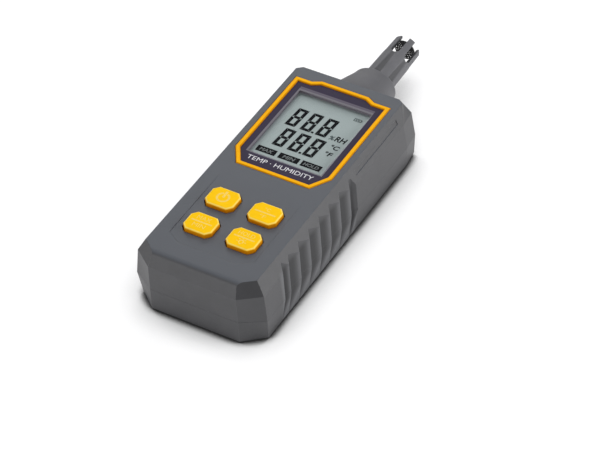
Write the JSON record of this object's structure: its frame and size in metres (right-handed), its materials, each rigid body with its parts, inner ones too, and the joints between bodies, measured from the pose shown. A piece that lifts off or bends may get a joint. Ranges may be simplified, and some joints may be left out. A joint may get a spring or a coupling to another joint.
{
  "type": "digital thermo-hygrometer",
  "caption": "Hand-held digital temperature and humidity meter with display, rubber keys and a slotted probe.",
  "frame": {"origin": "centre of the whole length and width, on the flat back that the meter lies on", "axes": "+Y along the meter from the key end to the probe tip, +X across it to the right as the display is read, +Z out of the display"},
  "size_m": [0.0524, 0.158, 0.0286],
  "materials": {
    "case_plastic": "fine matt grain",
    "collar_plastic": "fine matt grain",
    "probe_plastic": "satin",
    "frame_yellow": "satin",
    "key_rubber": "satin",
    "lens_clear": "clear",
    "lcd_glass": "satin",
    "diffuser": "frosted",
    "white_plastic": "satin",
    "inner_rubber": "matt",
    "circuit_board": "lacquered",
    "black_component": "matt",
    "component_metal": "plated",
    "screw_steel": "zinc plated",
    "cell_jacket": "printed sleeve"
  },
  "bodies": {
    "root": {"front_shell": "case_plastic", "rear_shell": "case_plastic", "probe_collar": "collar_plastic", "probe_tube": "probe_plastic", "display_frame": "frame_yellow", "display_lens": "lens_clear", "lcd_panel": "lcd_glass", "light_guide": "diffuser", "backlight_led": "diffuser", "lcd_holder": "white_plastic", "rear_label": "white_plastic", "key_mat": "inner_rubber", "zebra_strip": "inner_rubber", "main_board": "circuit_board", "sensor_board": "circuit_board", "main_chip": "black_component", "sensor_cap": "black_component", "temperature_sensor": "black_component", "humidity_sensor": "black_component", "board_header": "black_component", "board_parts": "component_metal", "contact_plates": "component_metal", "contact_springs": "component_metal", "case_screws": "screw_steel", "board_screws": "screw_steel", "battery_cell_1": "cell_jacket", "battery_cell_2": "cell_jacket", "battery_cell_3": "cell_jacket"},
    "power_key": {"power_key": "key_rubber", "power_key_pill": "inner_rubber"},
    "unit_key": {"unit_key": "key_rubber", "unit_key_pill": "inner_rubber"},
    "max_min_key": {"max_min_key": "key_rubber", "max_min_key_pill": "inner_rubber"},
    "hold_key": {"hold_key": "key_rubber", "hold_key_pill": "inner_rubber"},
    "battery_door": {"battery_door": "case_plastic"}
  },
  "joints": [
    {"name": "battery_door_hinge", "type": "hinge", "parent": "root", "child": "battery_door", "pos_m": [0, -0.01405, 0], "axis": [1, 0, 0], "range_deg": [0, 60]},
    {"name": "power_key_press", "type": "slide", "parent": "root", "child": "power_key", "axis": [0, 0, -1], "range_m": [0, 0.0008], "stiffness_N_per_m": 1500},
    {"name": "unit_key_press", "type": "slide", "parent": "root", "child": "unit_key", "axis": [0, 0, -1], "range_m": [0, 0.0008], "stiffness_N_per_m": 1500},
    {"name": "max_min_key_press", "type": "slide", "parent": "root", "child": "max_min_key", "axis": [0, 0, -1], "range_m": [0, 0.0008], "stiffness_N_per_m": 1500},
    {"name": "hold_key_press", "type": "slide", "parent": "root", "child": "hold_key", "axis": [0, 0, -1], "range_m": [0, 0.0008], "stiffness_N_per_m": 1500}
  ]
}
